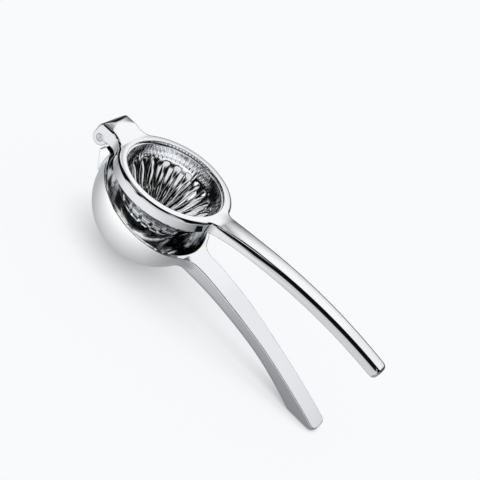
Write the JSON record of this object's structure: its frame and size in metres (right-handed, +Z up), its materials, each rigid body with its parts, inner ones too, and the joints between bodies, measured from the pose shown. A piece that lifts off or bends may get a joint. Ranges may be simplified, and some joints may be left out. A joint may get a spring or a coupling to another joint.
{
  "type": "hinged lemon squeezer",
  "caption": "Hand-held lever squeezer with a drained half-ball bowl, a fluted press cup in a ring, two curved handles and a pinned clevis hinge.",
  "frame": {"origin": "middle of the bounding box on the table plane that the bowl and the lower handle's sole stand on", "axes": "+X runs from the hinge to the handle tips, +Z is up, the squeezer is symmetric in Y"},
  "size_m": [0.2034, 0.0736, 0.0631],
  "materials": {
    "polished_casting": "mirror-polished chrome plate",
    "satin_casting": "fine satin chrome plate",
    "pressed_steel": "bright pressed steel",
    "pin_steel": "turned steel, lightly polished"
  },
  "bodies": {
    "bowl_lever": {"strainer_bowl": "polished_casting", "lower_handle": "satin_casting", "hinge_lug": "satin_casting"},
    "press_lever": {"press_ring": "polished_casting", "press_cup": "pressed_steel", "upper_handle": "polished_casting", "hinge_hood": "polished_casting", "hinge_pin": "pin_steel"}
  },
  "joints": [
    {"name": "lever_hinge", "type": "hinge", "parent": "bowl_lever", "child": "press_lever", "pos_m": [-0.09697, 0, 0.04744], "axis": [0, -1, 0], "range_deg": [-13.9, 145]}
  ]
}
